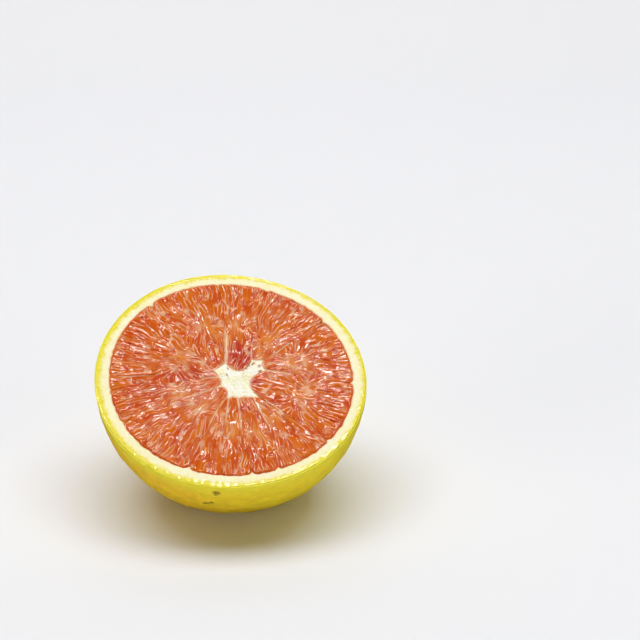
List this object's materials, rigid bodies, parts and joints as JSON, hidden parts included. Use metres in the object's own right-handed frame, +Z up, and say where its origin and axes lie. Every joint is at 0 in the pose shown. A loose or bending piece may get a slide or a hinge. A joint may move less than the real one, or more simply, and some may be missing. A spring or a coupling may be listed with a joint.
{
  "type": "half of a cara cara orange",
  "caption": "Half of a seedless navel orange with pinkish red flesh, lying on its skin with the cut face tilted forward.",
  "frame": {"origin": "middle of the footprint, on the surface that the half lies on", "axes": "+Z up, -Y towards the side that the cut face tilts to, +X to the right as seen from that side"},
  "size_m": [0.0802, 0.0762, 0.0566],
  "materials": {
    "orange_fruit": "waxy yellow-orange skin, white pith and wet pinkish red pulp"
  },
  "bodies": {
    "root": {"orange_half": "orange_fruit"}
  },
  "joints": []
}
